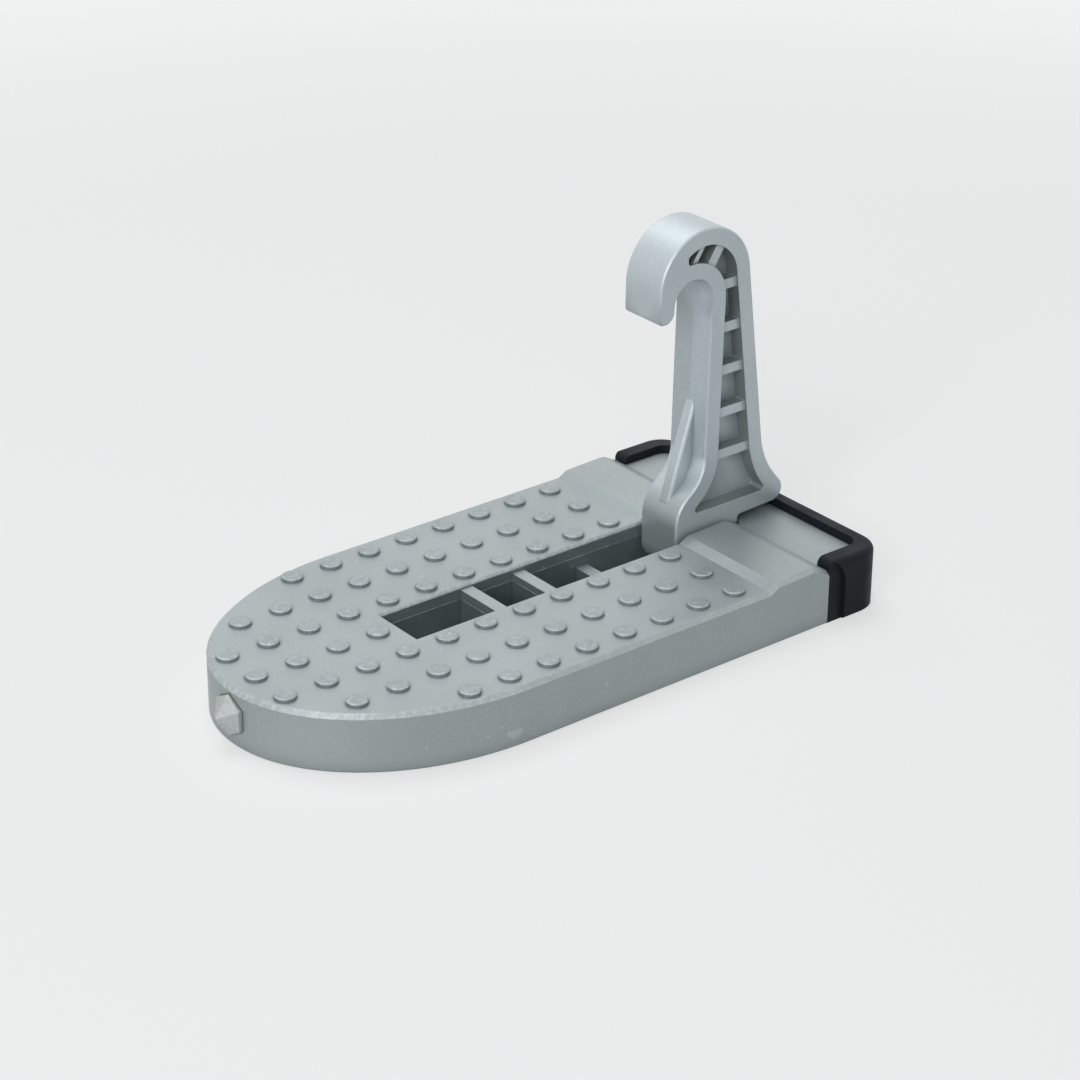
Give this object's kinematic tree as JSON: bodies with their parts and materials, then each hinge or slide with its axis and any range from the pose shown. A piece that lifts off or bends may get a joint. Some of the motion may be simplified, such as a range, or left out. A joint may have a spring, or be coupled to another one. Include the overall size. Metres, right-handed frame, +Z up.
{
  "type": "car door latch step",
  "caption": "Pocket-sized folding step that hooks over a car's door striker: studded cast platform, hinged hook arm, rubber rear buffer and a glass breaker in the nose.",
  "frame": {"origin": "centre of the plan of the whole object, on the plane of the platform's underside", "axes": "+X from the nose with the glass breaker to the rubber buffer, +Y across the platform along the hinge pin, +Z up from the underside to the curl of the hook"},
  "size_m": [0.1518, 0.075, 0.0859],
  "materials": {
    "platform_alloy": "satin",
    "arm_alloy": "satin",
    "pin_steel": "satin",
    "buffer_rubber": "matte",
    "breaker_steel": "satin"
  },
  "bodies": {
    "base": {"platform": "platform_alloy", "rear_buffer": "buffer_rubber", "glass_breaker": "breaker_steel", "hinge_pin": "pin_steel"},
    "arm": {"hook_arm": "arm_alloy"}
  },
  "joints": [
    {"name": "arm_hinge", "type": "hinge", "parent": "base", "child": "arm", "pos_m": [0.04775, 0, 0.0099], "axis": [0, 1, 0], "range_deg": [-87.5, 0]}
  ]
}
